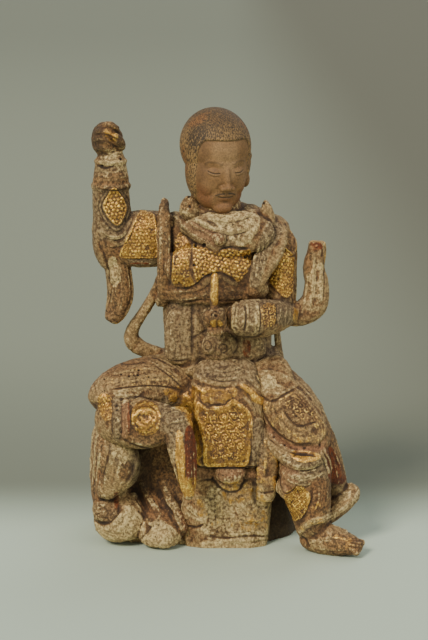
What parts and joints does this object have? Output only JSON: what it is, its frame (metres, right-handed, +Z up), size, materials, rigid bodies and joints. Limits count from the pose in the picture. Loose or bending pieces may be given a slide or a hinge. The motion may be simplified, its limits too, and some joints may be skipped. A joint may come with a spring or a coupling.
{
  "type": "wooden deity statue",
  "caption": "Carved and gilded wooden figure in armour, seated on a draped rock with one arm raised and one leg drawn up.",
  "frame": {"origin": "middle of the object's box, on the floor that the rock seat stands on", "axes": "+Z up, the figure faces -Y and its raised right arm is on the -X side"},
  "size_m": [0.274, 0.1842, 0.4356],
  "materials": {
    "carved_wood": "aged bare wood with worn gold leaf, whitish ground and traces of red"
  },
  "bodies": {
    "root": {"statue": "carved_wood"}
  },
  "joints": []
}
